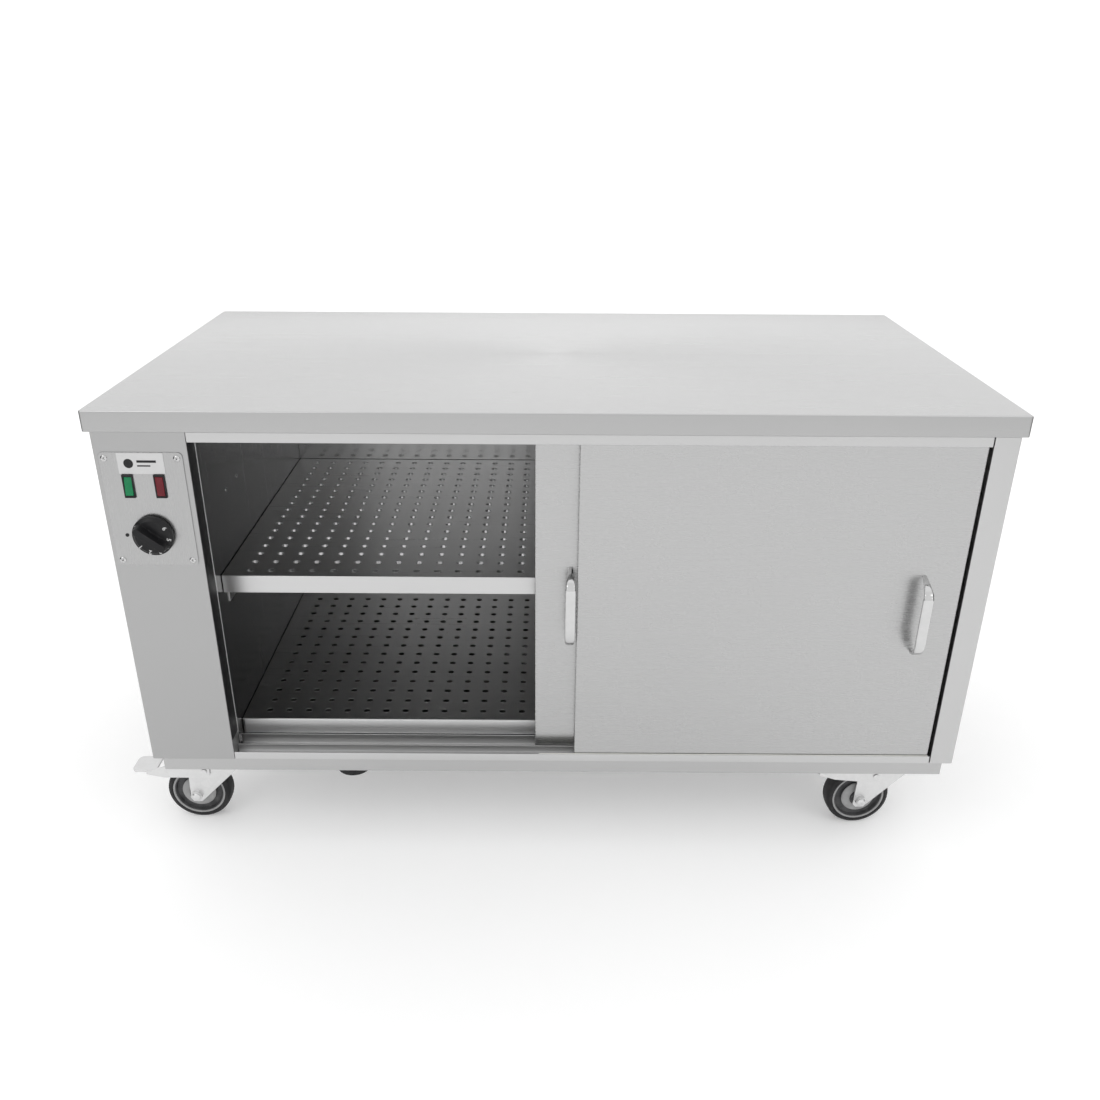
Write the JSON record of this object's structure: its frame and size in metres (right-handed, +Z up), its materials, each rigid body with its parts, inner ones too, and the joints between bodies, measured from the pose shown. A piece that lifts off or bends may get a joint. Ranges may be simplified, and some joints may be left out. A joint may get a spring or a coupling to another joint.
{
  "type": "food holding cabinet",
  "caption": "Low heated food holding cabinet on castors, with sliding doors, perforated shelves, a thermostat dial and a flat stainless worktop.",
  "frame": {"origin": "on the floor, under the centre of the worktop", "axes": "+X along the worktop to the right as seen from the front, +Y from the front to the back, +Z up"},
  "size_m": [1.259, 0.6765, 0.69],
  "materials": {
    "worktop_steel": "brushed, grain along the length",
    "body_steel": "brushed, satin",
    "door_steel": "brushed, satin, grain upright",
    "plinth_steel": "brushed, satin",
    "plate_steel": "brushed, satin",
    "liner_steel": "bright rolled",
    "shelf_steel": "bright rolled",
    "core_board": "raw board",
    "mineral_wool": "matt fibre",
    "element_sheath": "oxidised sheath",
    "fastener_steel": "bright",
    "label_white": "semi gloss label",
    "black_plastic": "moulded",
    "knob_black": "semi gloss moulded",
    "green_lens": "moulded lens",
    "red_lens": "moulded lens",
    "copper_tube": "drawn tube",
    "nylon_white": "moulded nylon",
    "handle_chrome": "polished",
    "zinc_plate": "bright zinc plated",
    "wheel_centre": "moulded nylon",
    "tyre_rubber": "moulded rubber"
  },
  "bodies": {
    "cabinet": {"worktop": "worktop_steel", "worktop_core": "core_board", "left_side_panel": "body_steel", "right_side_panel": "body_steel", "rear_panel": "body_steel", "control_fascia": "body_steel", "base_pan": "plinth_steel", "top_track": "body_steel", "bottom_track": "body_steel", "liner_left": "liner_steel", "liner_right": "liner_steel", "liner_back": "liner_steel", "liner_ceiling": "liner_steel", "liner_floor": "liner_steel", "liner_rivets": "fastener_steel", "insulation_boards": "mineral_wool", "upper_shelf": "shelf_steel", "lower_shelf": "shelf_steel", "shelf_supports": "shelf_steel", "heating_element": "element_sheath", "element_brackets": "liner_steel", "control_plate": "plate_steel", "plate_screws": "fastener_steel", "label_plate": "label_white", "dial_index": "black_plastic", "switch_housing": "black_plastic", "neon_housing": "black_plastic", "neon_lens": "red_lens", "thermostat_body": "black_plastic", "thermostat_bulb": "copper_tube", "safety_cutout": "black_plastic", "terminal_block": "nylon_white", "cable_gland": "black_plastic", "castor_plates": "zinc_plate", "castor_bolts": "zinc_plate"},
    "right_door": {"right_door_skin": "door_steel", "right_door_liner": "liner_steel", "right_door_handle": "handle_chrome", "right_door_glides": "nylon_white"},
    "left_door": {"left_door_skin": "door_steel", "left_door_liner": "liner_steel", "left_door_handle": "handle_chrome", "left_door_glides": "nylon_white"},
    "thermostat_dial": {"dial_knob": "knob_black", "dial_spindle": "zinc_plate"},
    "power_rocker": {"switch_rocker": "green_lens"},
    "front_left_fork": {"castor_front_left_fork": "zinc_plate"},
    "front_left_wheel": {"castor_front_left_hub": "wheel_centre", "castor_front_left_tyre": "tyre_rubber"},
    "front_left_pedal": {"castor_front_left_pedal": "zinc_plate"},
    "front_right_fork": {"castor_front_right_fork": "zinc_plate"},
    "front_right_wheel": {"castor_front_right_hub": "wheel_centre", "castor_front_right_tyre": "tyre_rubber"},
    "front_right_pedal": {"castor_front_right_pedal": "zinc_plate"},
    "rear_left_fork": {"castor_rear_left_fork": "zinc_plate"},
    "rear_left_wheel": {"castor_rear_left_hub": "wheel_centre", "castor_rear_left_tyre": "tyre_rubber"},
    "rear_right_fork": {"castor_rear_right_fork": "zinc_plate"},
    "rear_right_wheel": {"castor_rear_right_hub": "wheel_centre", "castor_rear_right_tyre": "tyre_rubber"}
  },
  "joints": [
    {"name": "right_door_slide", "type": "slide", "parent": "cabinet", "child": "right_door", "axis": [-1, 0, 0], "range_m": [0, 0.44]},
    {"name": "left_door_slide", "type": "slide", "parent": "right_door", "child": "left_door", "axis": [1, 0, 0], "range_m": [-0.44, 0]},
    {"name": "thermostat_turn", "type": "hinge", "parent": "cabinet", "child": "thermostat_dial", "pos_m": [-0.53, -0.325, 0.5225], "axis": [0, 1, 0], "range_deg": [-38, 214]},
    {"name": "power_rock", "type": "hinge", "parent": "cabinet", "child": "power_rocker", "pos_m": [-0.552, -0.324, 0.5902], "axis": [1, 0, 0], "range_deg": [0, 14]},
    {"name": "front_left_swivel", "type": "hinge", "parent": "cabinet", "child": "front_left_fork", "pos_m": [-0.523, -0.238, 0.122], "axis": [0, 0, 1], "continuous": true},
    {"name": "front_left_roll", "type": "hinge", "parent": "front_left_fork", "child": "front_left_wheel", "pos_m": [-0.561, -0.238, 0.05], "axis": [0, 1, 0], "continuous": true},
    {"name": "front_left_brake", "type": "hinge", "parent": "front_left_fork", "child": "front_left_pedal", "pos_m": [-0.543, -0.238, 0.097], "axis": [0, -1, 0], "range_deg": [0, 10]},
    {"name": "front_right_swivel", "type": "hinge", "parent": "cabinet", "child": "front_right_fork", "pos_m": [0.523, -0.238, 0.122], "axis": [0, 0, 1], "continuous": true},
    {"name": "front_right_roll", "type": "hinge", "parent": "front_right_fork", "child": "front_right_wheel", "pos_m": [0.48512, -0.24098, 0.05], "axis": [-0.0785, 0.9969, 0], "continuous": true},
    {"name": "front_right_brake", "type": "hinge", "parent": "front_right_fork", "child": "front_right_pedal", "pos_m": [0.50306, -0.23957, 0.097], "axis": [0.0785, -0.9969, 0], "range_deg": [0, 18]},
    {"name": "rear_left_swivel", "type": "hinge", "parent": "cabinet", "child": "rear_left_fork", "pos_m": [-0.523, 0.237, 0.122], "axis": [0, 0, 1], "continuous": true},
    {"name": "rear_left_roll", "type": "hinge", "parent": "rear_left_fork", "child": "rear_left_wheel", "pos_m": [-0.561, 0.237, 0.05], "axis": [0, 1, 0], "continuous": true},
    {"name": "rear_right_swivel", "type": "hinge", "parent": "cabinet", "child": "rear_right_fork", "pos_m": [0.523, 0.237, 0.122], "axis": [0, 0, 1], "continuous": true},
    {"name": "rear_right_roll", "type": "hinge", "parent": "rear_right_fork", "child": "rear_right_wheel", "pos_m": [0.485, 0.237, 0.05], "axis": [0, 1, 0], "continuous": true}
  ]
}
